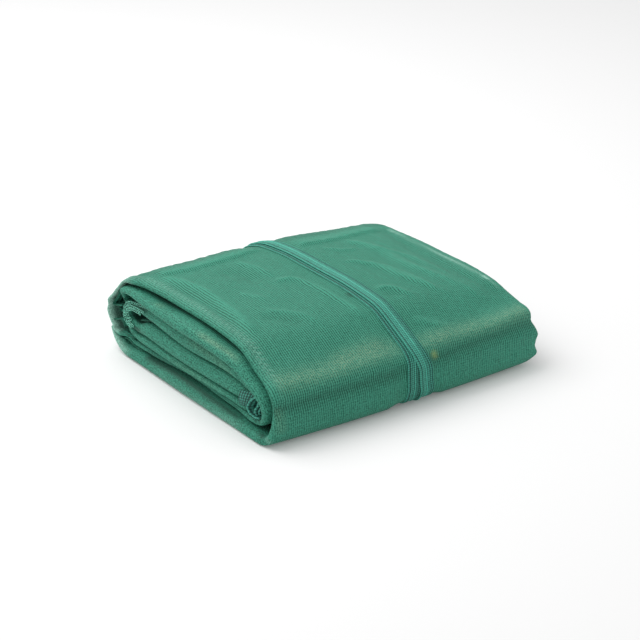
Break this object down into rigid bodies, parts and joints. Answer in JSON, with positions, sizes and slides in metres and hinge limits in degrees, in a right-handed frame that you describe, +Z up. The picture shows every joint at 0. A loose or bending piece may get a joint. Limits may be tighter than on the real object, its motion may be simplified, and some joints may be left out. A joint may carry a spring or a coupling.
{
  "type": "folded olive harvest net",
  "caption": "Harvest net of green knitted mesh, folded and rolled flat into a low rounded packet and bound across its middle by a ribbed strip.",
  "frame": {"origin": "on the ground, under the middle of the packet's outline", "axes": "+X along the packet to its right end, +Y from its front to its back, +Z up"},
  "size_m": [0.471, 0.4324, 0.1292],
  "materials": {
    "net": "warp-knitted green monofilament mesh, ply on ply, slightly sheer at its edges",
    "tie": "close-knitted ribbed tape of the same green yarn, a little lighter"
  },
  "bodies": {
    "root": {"net_band": "net", "tie_strip": "tie"}
  },
  "joints": []
}
